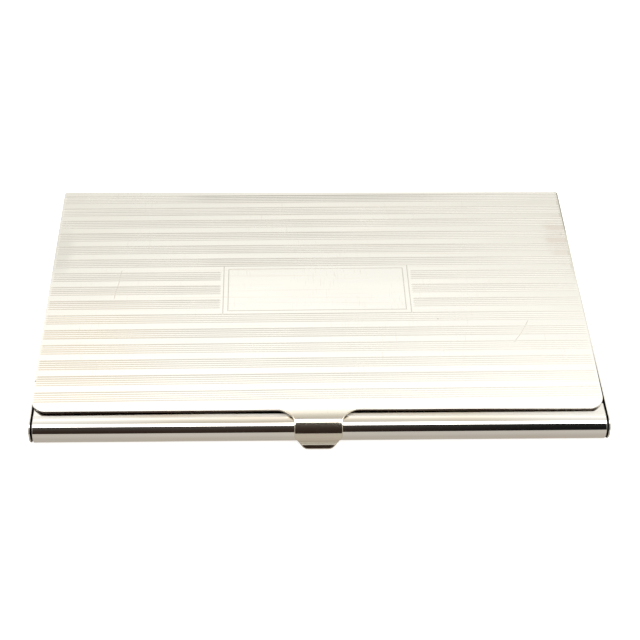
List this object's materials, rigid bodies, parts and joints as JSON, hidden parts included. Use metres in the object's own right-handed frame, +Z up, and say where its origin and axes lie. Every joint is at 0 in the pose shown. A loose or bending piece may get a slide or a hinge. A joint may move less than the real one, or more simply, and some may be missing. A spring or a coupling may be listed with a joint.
{
  "type": "business card case",
  "caption": "Slim hinged metal case for business cards: folded tray, flat engine-turned lid on a rear barrel hinge, central catch tab over a rolled front.",
  "frame": {"origin": "middle of the closed case's bounding box, on the plane that it lies on", "axes": "+X along the case's width, to the right when the catch tab faces the viewer; -Y towards the catch tab, +Y towards the hinge; +Z up through the lid"},
  "size_m": [0.093, 0.0592, 0.0051],
  "materials": {
    "lid_silver": "polished silver, engine-turned with fine straight lines, lightly scratched",
    "tray_silver": "polished silver, smooth",
    "hinge_silver": "polished silver, slightly duller in the corners",
    "pin_metal": "drawn wire"
  },
  "bodies": {
    "case": {"base_tray": "tray_silver", "end_cap_left": "tray_silver", "end_cap_right": "tray_silver", "base_hinge_bearer": "hinge_silver", "base_knuckle_1": "hinge_silver", "base_knuckle_2": "hinge_silver", "base_knuckle_3": "hinge_silver", "base_knuckle_4": "hinge_silver", "hinge_pin": "pin_metal", "pin_plug_left": "hinge_silver", "pin_plug_right": "hinge_silver"},
    "lid": {"lid_panel": "lid_silver", "lid_hinge_bearer": "hinge_silver", "lid_knuckle_1": "hinge_silver", "lid_knuckle_2": "hinge_silver", "lid_knuckle_3": "hinge_silver"}
  },
  "joints": [
    {"name": "lid_hinge", "type": "hinge", "parent": "case", "child": "lid", "pos_m": [0, 0.02852, 0.00325], "axis": [-1, 0, 0], "range_deg": [0, 100]}
  ]
}
